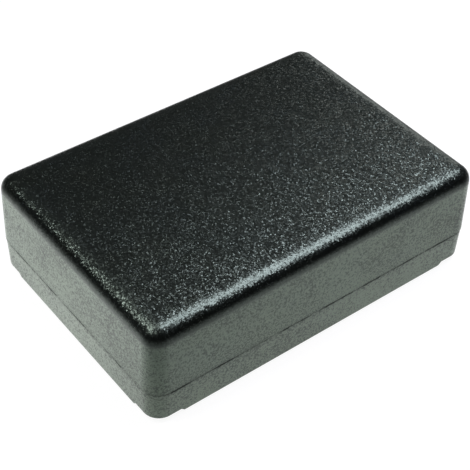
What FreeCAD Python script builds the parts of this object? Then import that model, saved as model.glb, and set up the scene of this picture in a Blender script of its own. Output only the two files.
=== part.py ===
"""Small two-part moulded enclosure for electronics, closed from below by four screws.

The frame stands at the middle of the underside: X along the length, Y along the width, Z up.
The base is a shallow tray with a lip, and the cover a deeper hood whose rim drops over that lip.
"""

import FreeCAD
import Part

import math
import os

import Sketcher

Vector = FreeCAD.Vector
Constraint = Sketcher.Constraint

# Alias, value in millimetres or degrees, and what it measures.
SIZES = [
    ("case_length", 72.0, "over the cover's rim, along X"),
    ("case_width", 50.0, "over the cover's rim, along Y"),
    ("case_height", 21.0, "from the underside to the top face"),
    ("parting_height", 7.0, "where the cover meets the base"),
    ("corner_radius", 3.4, "upright corners of the cover, at its rim"),
    ("cover_draft", 1.4, "slope of the cover's outer walls, degrees"),
    ("base_draft", 1.8, "slope of the base's outer walls, degrees"),
    ("inside_draft", 1.0, "slope of the cavity's walls, degrees"),
    ("rim_overhang", 0.1, "how far the cover's rim stands out past the base"),
    ("rim_arris", 0.15, "rounding of the two outer edges that meet at the parting plane"),
    ("top_edge_radius", 2.7, "rounding between the top face and the walls"),
    ("bottom_edge_radius", 0.5, "rounding between the underside and the walls"),
    ("wall", 2.0, "thickness of the side walls at the parting plane"),
    ("cover_top", 2.0, "thickness of the top face"),
    ("base_floor", 2.0, "thickness of the floor"),
    ("inside_corner_radius", 2.0, "upright corners of the cavity, at the parting plane"),
    ("inside_edge_radius", 0.8, "rounding at the floor and at the ceiling of the cavity"),
    ("relief_side", 6.8, "side of a corner relief at the underside, from the case's sides"),
    ("relief_depth", 1.0, "how far the four corners stand above the underside"),
    ("relief_round", 0.8, "inner corner of a relief, at its deep end"),
    ("relief_flank", 45.0, "slope of a relief's flanks, degrees"),
    ("lip_thickness", 0.9, "lip on the base's rim"),
    ("lip_height", 1.5, "how far the lip stands up into the cover"),
    ("lip_chamfer", 0.3, "lead-in round the top of the lip"),
    ("lip_clearance", 0.1, "between the lip and the cover's wall"),
    ("lip_headroom", 0.2, "between the top of the lip and the cover"),
    ("lip_end_gap", 1.0, "from a boss to the end of the lip"),
    ("screw_inset", 3.4, "from the case's sides to a screw's axis"),
    ("boss_diameter", 5.2, "screw columns in the base and bosses in the cover"),
    ("thread_diameter", 2.2, "over the thread of a screw"),
    ("thread_clearance", 0.05, "around the thread in the cover's boss"),
    ("shank_clearance", 0.2, "around the screw in the base's column"),
    ("bore_mouth", 0.3, "bevel at the mouth of the cover's bore"),
    ("screw_length", 13.0, "whole screw, head included"),
    ("tip_length", 1.8, "tapered end of a screw"),
    ("tip_diameter", 0.6, "blunt point of a screw"),
    ("tip_clearance", 1.0, "past the screw's point in its bore"),
    ("head_diameter", 3.8, "countersunk head"),
    ("head_rim", 0.3, "straight edge of the head"),
    ("head_sink", 0.05, "how deep the head's face lies in the relief"),
    ("head_clearance", 0.05, "around the head in its seat"),
    ("driver_span", 2.1, "across the cross recess of a head"),
    ("driver_slot", 0.5, "width of one slot of the cross recess"),
    ("driver_depth", 0.9, "depth of the cross recess"),
    ("driver_taper", 8.0, "slope of the cross recess, degrees"),
    ("board_span_x", 50.0, "between the board's fixing holes, along X"),
    ("board_span_y", 30.0, "between the board's fixing holes, along Y"),
    ("standoff_diameter", 5.0, "posts that carry the board"),
    ("standoff_height", 3.0, "from the floor to the board's seat"),
    ("board_hole_diameter", 1.7, "pilot hole in a standoff"),
    ("board_hole_depth", 3.5, "depth of that hole"),
    ("guide_place", 12.0, "from the middle to the slot for an upright board, along X"),
    ("guide_slot", 1.8, "width of that slot"),
    ("guide_rib", 1.0, "width of a rib beside the slot"),
    ("guide_depth", 1.2, "how far a rib stands out from the wall"),
    ("guide_shortfall", 0.6, "from the parting plane down to the base's ribs"),
]

# Sizes that more than one feature is built from.
HALF_LENGTH = "Sizes.case_length / 2"
HALF_WIDTH = "Sizes.case_width / 2"
CAVITY_LENGTH = "(Sizes.case_length - 2 * Sizes.wall)"
CAVITY_WIDTH = "(Sizes.case_width - 2 * Sizes.wall)"
COVER_DEPTH = "(Sizes.case_height - Sizes.parting_height)"
CEILING = "(Sizes.case_height - Sizes.cover_top)"
LIP_ROOM = "(Sizes.lip_height + Sizes.lip_headroom)"
SCREW_X = "(Sizes.case_length / 2 - Sizes.screw_inset)"
SCREW_Y = "(Sizes.case_width / 2 - Sizes.screw_inset)"
HEAD_LEVEL = "(Sizes.relief_depth + Sizes.head_sink)"

SCREW_CORNERS = {
    "front_left": ("-", "-"),
    "front_right": ("", "-"),
    "rear_left": ("-", ""),
    "rear_right": ("", ""),
}


def fill_sheet(doc):
    """Put the driving dimensions into the document's sheet, one row each."""
    sheet = doc.addObject("Spreadsheet::Sheet", "Sizes")
    for row, (alias, value, note) in enumerate(SIZES, start=1):
        sheet.set(f"A{row}", alias)
        sheet.set(f"B{row}", str(value))
        sheet.setAlias(f"B{row}", alias)
        sheet.set(f"C{row}", note)
    doc.recompute()


def new_body(doc, label):
    """Start the body of one piece, whose label names its file."""
    body = doc.addObject("PartDesign::Body", label)
    body.Label = label
    return body


def origin_plane(body, role):
    """Find one of the body's own origin planes."""
    return next(item for item in body.Origin.OriginFeatures if item.Role == role)


def new_sketch(body, name, level="0", role="XY_Plane"):
    """Start a sketch on an origin plane, moved along the plane's normal by an expression."""
    sketch = body.newObject("Sketcher::SketchObject", name)
    sketch.AttachmentSupport = [(origin_plane(body, role), "")]
    sketch.MapMode = "FlatFace"
    sketch.setExpression("AttachmentOffset.Base.z", level)
    return sketch


def measure(sketch, expression):
    """Work out an expression, so that a sketch is drawn near its solved shape."""
    return float(sketch.evalExpression(expression))


def dimension(sketch, kind, elements, name, expression):
    """Add a named dimension that follows an expression."""
    index = sketch.addConstraint(Constraint(kind, *elements, measure(sketch, expression)))
    sketch.renameConstraint(index, name)
    sketch.setExpression(f"Constraints.{name}", expression)


def hold_point(sketch, element, vertex, place, prefix):
    """Hold a point at a place, whose X and Y are expressions, or "0" on the sketch's axes."""
    x, y = place
    if x == "0":
        sketch.addConstraint(Constraint("PointOnObject", element, vertex, -2))
    else:
        dimension(sketch, "DistanceX", (-1, 1, element, vertex), prefix + "x", x)
    if y == "0":
        sketch.addConstraint(Constraint("PointOnObject", element, vertex, -1))
    else:
        dimension(sketch, "DistanceY", (-1, 1, element, vertex), prefix + "y", y)


def add_line(sketch, start, end, construction=False):
    """Draw a straight line between two points."""
    line = Part.LineSegment(Vector(*start, 0), Vector(*end, 0))
    return sketch.addGeometry(line, construction)


def circle(sketch, diameter, centre):
    """Draw a circle about a place given by two expressions."""
    x, y = (measure(sketch, part) for part in centre)
    ring = Part.Circle(Vector(x, y, 0), Vector(0, 0, 1), measure(sketch, diameter) / 2)
    index = sketch.addGeometry(ring, False)
    hold_point(sketch, index, 3, centre, "centre_")
    dimension(sketch, "Diameter", (index,), "diameter", diameter)


def rectangle(sketch, length, width, centre=("0", "0"), prefix=""):
    """Draw a rectangle about a place given by two expressions."""
    x, y = (measure(sketch, part) for part in centre)
    half_x, half_y = measure(sketch, length) / 2, measure(sketch, width) / 2
    corners = [
        (x - half_x, y - half_y),
        (x + half_x, y - half_y),
        (x + half_x, y + half_y),
        (x - half_x, y + half_y),
    ]
    sides = [add_line(sketch, *ends) for ends in zip(corners, corners[1:] + corners[:1])]
    for side, following in zip(sides, sides[1:] + sides[:1]):
        sketch.addConstraint(Constraint("Coincident", side, 2, following, 1))
    middle = sketch.addGeometry(Part.Point(Vector(x, y, 0)), True)
    sketch.addConstraint(Constraint("Symmetric", sides[0], 1, sides[2], 1, middle, 1))
    square_up(sketch, sides)
    hold_point(sketch, middle, 1, centre, prefix + "centre_")
    dimension(sketch, "DistanceX", (sides[3], 1, sides[1], 1), prefix + "length", length)
    dimension(sketch, "DistanceY", (sides[0], 1, sides[2], 1), prefix + "width", width)


def rounded_rectangle(sketch, length, width, corner, centre=("0", "0")):
    """Draw a rectangle with four equal round corners about a place given by two expressions."""
    x, y = (measure(sketch, part) for part in centre)
    half_x, half_y = measure(sketch, length) / 2, measure(sketch, width) / 2
    radius = measure(sketch, corner)
    in_x, in_y = half_x - radius, half_y - radius
    straights = [
        ((x - in_x, y - half_y), (x + in_x, y - half_y)),
        ((x + half_x, y - in_y), (x + half_x, y + in_y)),
        ((x + in_x, y + half_y), (x - in_x, y + half_y)),
        ((x - half_x, y + in_y), (x - half_x, y - in_y)),
    ]
    turns = [(in_x, -in_y, -90), (in_x, in_y, 0), (-in_x, in_y, 90), (-in_x, -in_y, 180)]
    sides, arcs = [], []
    for ends, (turn_x, turn_y, angle) in zip(straights, turns):
        sides.append(add_line(sketch, *ends))
        ring = Part.Circle(Vector(x + turn_x, y + turn_y, 0), Vector(0, 0, 1), radius)
        arc = Part.ArcOfCircle(ring, math.radians(angle), math.radians(angle + 90))
        arcs.append(sketch.addGeometry(arc, False))
    for side, arc, following in zip(sides, arcs, sides[1:] + sides[:1]):
        sketch.addConstraint(Constraint("Tangent", side, 2, arc, 1))
        sketch.addConstraint(Constraint("Tangent", arc, 2, following, 1))
    for arc in arcs[1:]:
        sketch.addConstraint(Constraint("Equal", arcs[0], arc))
    middle = sketch.addGeometry(Part.Point(Vector(x, y, 0)), True)
    sketch.addConstraint(Constraint("Symmetric", arcs[0], 3, arcs[2], 3, middle, 1))
    square_up(sketch, sides)
    hold_point(sketch, middle, 1, centre, "centre_")
    dimension(sketch, "DistanceX", (sides[3], 1, sides[1], 1), "length", length)
    dimension(sketch, "DistanceY", (sides[0], 1, sides[2], 1), "width", width)
    dimension(sketch, "Radius", (arcs[0],), "corner", corner)


def square_up(sketch, sides):
    """Keep the four sides of a rectangle level and upright in turn."""
    for side, direction in zip(sides, ("Horizontal", "Vertical") * 2):
        sketch.addConstraint(Constraint(direction, side))


def turned_outline(sketch, corners, axis_x="0"):
    """Draw half the section of a round form, whose corners are radius and height expressions.

    The section closes along an upright axis, the sketch's first construction line.
    """
    centre = measure(sketch, axis_x)
    points = [(centre + measure(sketch, r), measure(sketch, z)) for r, z in corners]
    axis = add_line(sketch, (centre, points[0][1]), (centre, points[-1][1]), construction=True)
    sketch.addConstraint(Constraint("Vertical", axis))
    lines = [add_line(sketch, *ends) for ends in zip(points, points[1:] + points[:1])]
    for line, following in zip(lines, lines[1:] + lines[:1]):
        sketch.addConstraint(Constraint("Coincident", line, 2, following, 1))
    sketch.addConstraint(Constraint("Coincident", axis, 1, lines[0], 1))
    sketch.addConstraint(Constraint("Coincident", axis, 2, lines[-1], 1))
    hold_point(sketch, axis, 1, (axis_x, corners[0][1]), "axis_")
    for number, (line, (radius, height)) in enumerate(zip(lines[1:], corners[1:]), start=1):
        if radius != "0":
            dimension(sketch, "DistanceX", (axis, 1, line, 1), f"radius_{number}", radius)
        if height == corners[number - 1][1]:
            sketch.addConstraint(Constraint("Horizontal", lines[number - 1]))
        else:
            dimension(sketch, "DistanceY", (-1, 1, line, 1), f"height_{number}", height)


def pad(body, sketch, length, taper="0", down=False):
    """Raise a sketch along its normal, or lower it, with its sides drawn in by a taper."""
    feature = body.newObject("PartDesign::Pad", sketch.Name + "_pad")
    feature.Profile = sketch
    feature.Reversed = down
    feature.setExpression("Length", length)
    feature.setExpression("TaperAngle", f"-{taper}")
    return feature


def pocket(body, sketch, depth, taper="0", up=False):
    """Cut a sketch down against its normal, or up along it, narrowing by a taper."""
    feature = body.newObject("PartDesign::Pocket", sketch.Name + "_pocket")
    feature.Profile = sketch
    feature.Reversed = up
    feature.setExpression("Length", depth)
    feature.setExpression("TaperAngle", f"-{taper}")
    return feature


def turn(body, sketch, kind):
    """Turn a half section round its axis, as a Revolution or as a Groove."""
    feature = body.newObject(f"PartDesign::{kind}", sketch.Name + "_turned")
    feature.Profile = sketch
    feature.ReferenceAxis = (sketch, ["Axis0"])
    feature.Angle = 360
    return feature


def mirror(body, feature, *roles):
    """Repeat a feature across one or both of the body's upright origin planes."""
    whole = body.newObject("PartDesign::MultiTransform", feature.Name + "_all")
    whole.Originals = [feature]
    mirrors = []
    for role in roles:
        mirrored = body.newObject("PartDesign::Mirrored", f"{feature.Name}_{role[:2]}")
        mirrored.MirrorPlane = (origin_plane(body, role), [""])
        mirrors.append(mirrored)
    whole.Transformations = mirrors
    body.Tip = whole
    return whole


def edges_at(doc, body, level):
    """Name the edges of the body's newest shape that lie flat at one height."""
    doc.recompute()
    close = 0.001
    height = measure(body, level)
    return [
        f"Edge{number}"
        for number, edge in enumerate(body.Tip.Shape.Edges, start=1)
        if abs(edge.BoundBox.ZMin - height) < close and abs(edge.BoundBox.ZMax - height) < close
    ]


def soften(doc, body, name, level, size, kind="Fillet"):
    """Round or bevel every edge that lies flat at one height."""
    names = edges_at(doc, body, level)
    base = body.Tip
    feature = body.newObject(f"PartDesign::{kind}", name)
    feature.Base = (base, names)
    feature.setExpression("Radius" if kind == "Fillet" else "Size", size)
    return feature


def four_posts(body, name, level, height, diameter, centre, down=False):
    """Stand a round post at each of four places that mirror each other."""
    sketch = new_sketch(body, name, level)
    circle(sketch, diameter, centre)
    post = pad(body, sketch, height, down=down)
    mirror(body, post, "XZ_Plane", "YZ_Plane")


def four_turned_holes(body, name, corners):
    """Cut a turned hole on each of the four screws' axes."""
    sketch = new_sketch(body, name, SCREW_Y, "XZ_Plane")
    turned_outline(sketch, corners, SCREW_X)
    hole = turn(body, sketch, "Groove")
    mirror(body, hole, "XZ_Plane", "YZ_Plane")


def board_guides(body, name, level, height, down=False):
    """Stand two ribs on each long wall, on both sides of the slot for an upright board."""
    sketch = new_sketch(body, name, level)
    root = "Sizes.wall / 2"
    depth = f"(Sizes.guide_depth + {root})"
    y = f"({HALF_WIDTH} - Sizes.wall + {root} - {depth} / 2)"
    for side, sign in (("near", "-"), ("far", "+")):
        x = f"(Sizes.guide_place {sign} (Sizes.guide_slot + Sizes.guide_rib) / 2)"
        rectangle(sketch, "Sizes.guide_rib", depth, (x, y), side + "_")
    ribs = pad(body, sketch, height, down=down)
    mirror(body, ribs, "XZ_Plane", "YZ_Plane")


def base_outside(doc, body):
    """Draw the base's outer form: drafted walls, soft edges and four corner reliefs."""
    sketch = new_sketch(body, "base_outline", "Sizes.parting_height")
    rounded_rectangle(
        sketch,
        "Sizes.case_length - 2 * Sizes.rim_overhang",
        "Sizes.case_width - 2 * Sizes.rim_overhang",
        "Sizes.corner_radius - Sizes.rim_overhang",
    )
    pad(body, sketch, "Sizes.parting_height", "Sizes.base_draft", down=True)
    soften(doc, body, "bottom_edge", "0", "Sizes.bottom_edge_radius")
    soften(doc, body, "base_rim_edge", "Sizes.parting_height", "Sizes.rim_arris")

    relief = new_sketch(body, "corner_relief")
    side = "2 * Sizes.relief_side"
    corner = "Sizes.relief_round + Sizes.relief_depth * tan(Sizes.relief_flank)"
    rounded_rectangle(relief, side, side, corner, (HALF_LENGTH, HALF_WIDTH))
    cut = pocket(body, relief, "Sizes.relief_depth", "Sizes.relief_flank", up=True)
    mirror(body, cut, "XZ_Plane", "YZ_Plane")


def base_inside(doc, body):
    """Hollow the base, and raise its lip, screw columns, board posts and guides."""
    hollow = new_sketch(body, "base_cavity", "Sizes.parting_height")
    rounded_rectangle(hollow, CAVITY_LENGTH, CAVITY_WIDTH, "Sizes.inside_corner_radius")
    depth = "(Sizes.parting_height - Sizes.base_floor)"
    pocket(body, hollow, depth, "Sizes.inside_draft")
    soften(doc, body, "floor_edge", "Sizes.base_floor", "Sizes.inside_edge_radius")

    lip(body, "long", "Sizes.case_length", CAVITY_WIDTH)
    lip(body, "short", "Sizes.case_width", CAVITY_LENGTH)
    lip_top = "Sizes.parting_height + Sizes.lip_height"
    bevel = "min(Sizes.lip_chamfer; Sizes.lip_thickness / 3)"
    soften(doc, body, "lip_lead_in", lip_top, bevel, "Chamfer")

    centre = (SCREW_X, SCREW_Y)
    four_posts(body, "column", "Sizes.parting_height", depth, "Sizes.boss_diameter", centre, True)
    board_holes = ("Sizes.board_span_x / 2", "Sizes.board_span_y / 2")
    height = "Sizes.standoff_height"
    four_posts(body, "standoff", "Sizes.base_floor", height, "Sizes.standoff_diameter", board_holes)

    pilot = new_sketch(body, "board_hole", "Sizes.base_floor + Sizes.standoff_height")
    circle(pilot, "Sizes.board_hole_diameter", board_holes)
    mirror(body, pocket(body, pilot, "Sizes.board_hole_depth"), "XZ_Plane", "YZ_Plane")

    guide_height = f"{depth} - Sizes.guide_shortfall"
    board_guides(body, "base_guide", "Sizes.base_floor", guide_height)


def lip(body, name, run, across):
    """Raise the lip along one pair of walls, between the bosses at their ends."""
    sketch = new_sketch(body, f"{name}_lip", "Sizes.parting_height")
    end = "(Sizes.screw_inset + Sizes.boss_diameter / 2 + Sizes.lip_end_gap)"
    length = f"({run} - 2 * {end})"
    place = f"({across} + Sizes.lip_thickness) / 2"
    if name == "long":
        rectangle(sketch, length, "Sizes.lip_thickness", ("0", place))
    else:
        rectangle(sketch, "Sizes.lip_thickness", length, (place, "0"))
    stretch = pad(body, sketch, "Sizes.lip_height")
    mirror(body, stretch, "XZ_Plane" if name == "long" else "YZ_Plane")


def build_base(doc):
    """Build the tray: outside, inside, and the seats of the four screws from below."""
    body = new_body(doc, "base_shell")
    base_outside(doc, body)
    base_inside(doc, body)
    hole = "(Sizes.thread_diameter / 2 + Sizes.shank_clearance)"
    head_margin = "Sizes.head_rim + Sizes.head_sink + Sizes.head_clearance"
    seat = f"(Sizes.head_diameter / 2 + {head_margin})"
    four_turned_holes(
        body,
        "screw_seat",
        [
            ("0", "0"),
            (seat, "0"),
            (seat, "Sizes.relief_depth"),
            (hole, f"Sizes.relief_depth + {seat} - {hole}"),
            (hole, "Sizes.parting_height"),
            ("0", "Sizes.parting_height"),
        ],
    )
    return body


def build_cover(doc):
    """Build the hood: drafted walls, wide top rounding, cavity, rebate, bosses and guides."""
    body = new_body(doc, "cover_shell")
    sketch = new_sketch(body, "cover_outline", "Sizes.parting_height")
    rounded_rectangle(sketch, "Sizes.case_length", "Sizes.case_width", "Sizes.corner_radius")
    pad(body, sketch, COVER_DEPTH, "Sizes.cover_draft")
    tightest = f"0.95 * (Sizes.corner_radius - {COVER_DEPTH} * tan(Sizes.cover_draft))"
    rounding = f"min(Sizes.top_edge_radius; {tightest})"
    soften(doc, body, "top_edge", "Sizes.case_height", rounding)
    soften(doc, body, "cover_rim_edge", "Sizes.parting_height", "Sizes.rim_arris")

    hollow = new_sketch(body, "cover_cavity", "Sizes.parting_height")
    rounded_rectangle(hollow, CAVITY_LENGTH, CAVITY_WIDTH, "Sizes.inside_corner_radius")
    depth = f"({CEILING} - Sizes.parting_height)"
    pocket(body, hollow, depth, "Sizes.inside_draft", up=True)
    soften(doc, body, "ceiling_edge", CEILING, "Sizes.inside_edge_radius")

    rebate = new_sketch(body, "rebate", "Sizes.parting_height")
    step = "(Sizes.lip_thickness + Sizes.lip_clearance)"
    corner = f"Sizes.inside_corner_radius + {step}"
    rounded_rectangle(rebate, f"{CAVITY_LENGTH} + 2 * {step}", f"{CAVITY_WIDTH} + 2 * {step}", corner)
    pocket(body, rebate, LIP_ROOM, up=True)

    centre = (SCREW_X, SCREW_Y)
    four_posts(body, "boss", "Sizes.parting_height", depth, "Sizes.boss_diameter", centre)
    board_guides(body, "cover_guide", CEILING, f"{depth} - {LIP_ROOM}", down=True)

    bore = "(Sizes.thread_diameter / 2 + Sizes.thread_clearance)"
    bore_end = f"({HEAD_LEVEL} + Sizes.screw_length + Sizes.tip_clearance)"
    four_turned_holes(
        body,
        "screw_bore",
        [
            ("0", "Sizes.parting_height"),
            (f"{bore} + Sizes.bore_mouth", "Sizes.parting_height"),
            (bore, "Sizes.parting_height + Sizes.bore_mouth"),
            (bore, bore_end),
            ("0", bore_end),
        ],
    )
    return body


def build_screw(doc, corner, sign_x, sign_y):
    """Turn one countersunk tapping screw, cut its cross recess and set it in its corner."""
    body = new_body(doc, f"screw_{corner}")
    section = new_sketch(body, f"section_{corner}", role="XZ_Plane")
    head, crest = "Sizes.head_diameter / 2", "Sizes.thread_diameter / 2"
    turned_outline(
        section,
        [
            ("0", "0"),
            (head, "0"),
            (head, "Sizes.head_rim"),
            (crest, f"Sizes.head_rim + {head} - {crest}"),
            (crest, "Sizes.screw_length - Sizes.tip_length"),
            ("Sizes.tip_diameter / 2", "Sizes.screw_length"),
            ("0", "Sizes.screw_length"),
        ],
    )
    turn(body, section, "Revolution")
    slot = new_sketch(body, f"driver_{corner}")
    rectangle(slot, "Sizes.driver_span", "Sizes.driver_slot")
    cut = pocket(body, slot, "Sizes.driver_depth", "Sizes.driver_taper", up=True)
    cross = body.newObject("PartDesign::PolarPattern", f"cross_{corner}")
    cross.Originals = [cut]
    cross.Axis = (slot, ["N_Axis"])
    cross.Angle = 90
    cross.Occurrences = 2
    body.Tip = cross
    body.setExpression("Placement.Base.x", sign_x + SCREW_X)
    body.setExpression("Placement.Base.y", sign_y + SCREW_Y)
    body.setExpression("Placement.Base.z", HEAD_LEVEL)
    return body


def check(doc, bodies):
    """Stop unless every feature was computed and every piece is one valid solid."""
    doc.recompute()
    failed = [item.Name for item in doc.Objects if {"Invalid", "Error"} & set(item.State)]
    if failed:
        raise RuntimeError("not computed: " + ", ".join(failed))
    for body in bodies:
        shape = body.Shape
        if shape.isNull() or not shape.isValid() or len(shape.Solids) != 1:
            raise RuntimeError(f"{body.Label} is not one valid solid")


def main():
    """Build every piece of the enclosure and write each to its own STEP file."""
    doc = FreeCAD.newDocument("enclosure")
    fill_sheet(doc)
    bodies = [build_base(doc), build_cover(doc)]
    for corner, signs in SCREW_CORNERS.items():
        bodies.append(build_screw(doc, corner, *signs))
    check(doc, bodies)
    os.makedirs("parts", exist_ok=True)
    for body in bodies:
        body.Shape.exportStep(f"parts/{body.Label}.step")
        print(f"{body.Label}: {body.Shape.Volume:.1f} mm3")


main()
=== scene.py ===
"""Looks of a small two-part electronics case in moulded black plastic.

The solids in model.glb give the two shells. This file dresses them, builds the four threaded corner screws,
and sets the floor, the lamps and the camera. Size fields are in millimetres, and in metres for the
floor and the lamps. Meshes, coordinates and node inputs are in metres, as model.glb has them.
"""

import logging
import math
from dataclasses import dataclass
from enum import Enum
from typing import Any, ClassVar

import bpy
from mathutils import Matrix, Vector


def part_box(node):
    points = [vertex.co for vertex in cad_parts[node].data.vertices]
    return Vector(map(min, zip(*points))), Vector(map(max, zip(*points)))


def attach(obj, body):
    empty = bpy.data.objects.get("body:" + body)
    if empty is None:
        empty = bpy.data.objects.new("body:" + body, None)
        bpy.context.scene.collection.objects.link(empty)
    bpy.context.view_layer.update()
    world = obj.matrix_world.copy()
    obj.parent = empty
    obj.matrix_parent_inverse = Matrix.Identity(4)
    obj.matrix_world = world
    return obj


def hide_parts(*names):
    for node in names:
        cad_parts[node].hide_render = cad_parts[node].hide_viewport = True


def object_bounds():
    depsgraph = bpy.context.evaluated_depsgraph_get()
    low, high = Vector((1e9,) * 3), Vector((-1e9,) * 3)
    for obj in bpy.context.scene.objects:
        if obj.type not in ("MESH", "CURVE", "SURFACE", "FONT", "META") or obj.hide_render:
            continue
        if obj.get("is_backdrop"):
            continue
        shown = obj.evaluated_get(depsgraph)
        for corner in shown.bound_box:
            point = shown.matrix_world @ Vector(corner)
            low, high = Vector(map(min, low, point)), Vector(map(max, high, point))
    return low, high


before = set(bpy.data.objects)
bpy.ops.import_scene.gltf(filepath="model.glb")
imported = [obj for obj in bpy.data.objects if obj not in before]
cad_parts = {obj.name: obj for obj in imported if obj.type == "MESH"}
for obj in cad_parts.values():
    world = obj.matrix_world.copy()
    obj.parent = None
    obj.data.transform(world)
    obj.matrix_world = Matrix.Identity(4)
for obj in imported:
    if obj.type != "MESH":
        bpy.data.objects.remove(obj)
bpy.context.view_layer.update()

MM = 0.001
FLOAT = "NodeSocketFloat"
WHOLE = "NodeSocketInt"
VECTOR = "NodeSocketVector"
COLOUR = "NodeSocketColor"
GEOMETRY = "NodeSocketGeometry"
Colour = tuple[float, float, float]
Pair = tuple[float, float]
Socket = bpy.types.NodeSocket

logging.basicConfig(level=logging.INFO, format="%(message)s")
log = logging.getLogger("case")


class Outside(Enum):
    """Which outside finish the mould leaves on a shell above the level where its walls end."""

    GRAINED_TOP = "grained top"
    PLAIN = "plain"


def spaced(name: str) -> str:
    """Turns the name of a field into the name of a node input."""
    return name.replace("_", " ").capitalize()


def metres(sizes: Any) -> dict[str, float]:
    """Gives the sizes of a dataclass in metres, by their names."""
    return {name: size * MM for name, size in vars(sizes).items()}


def direction(azimuth: float, elevation: float) -> Vector:
    """Turns two angles into a direction.

    Args:
        azimuth: 0 at the front, 90 at the right, in degrees.
        elevation: The angle above the floor, in degrees.

    Returns:
        The direction from the case, of length 1.
    """
    around, up = math.radians(azimuth), math.radians(elevation)
    level = math.cos(up)
    return Vector((math.sin(around) * level, -math.cos(around) * level, math.sin(up)))


def linked(name: str, data: Any) -> bpy.types.Object:
    """Puts a new object into the scene.

    Args:
        name: The object's name.
        data: Its mesh, light or camera.

    Returns:
        The object.
    """
    made = bpy.data.objects.new(name, data)
    bpy.context.scene.collection.objects.link(made)
    return made


def emptied(owner: Any) -> bpy.types.NodeTree:
    """Clears the nodes of a new material or world.

    Args:
        owner: The material or world.

    Returns:
        Its node tree.
    """
    owner.use_nodes = True
    owner.node_tree.nodes.clear()
    return owner.node_tree


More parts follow.
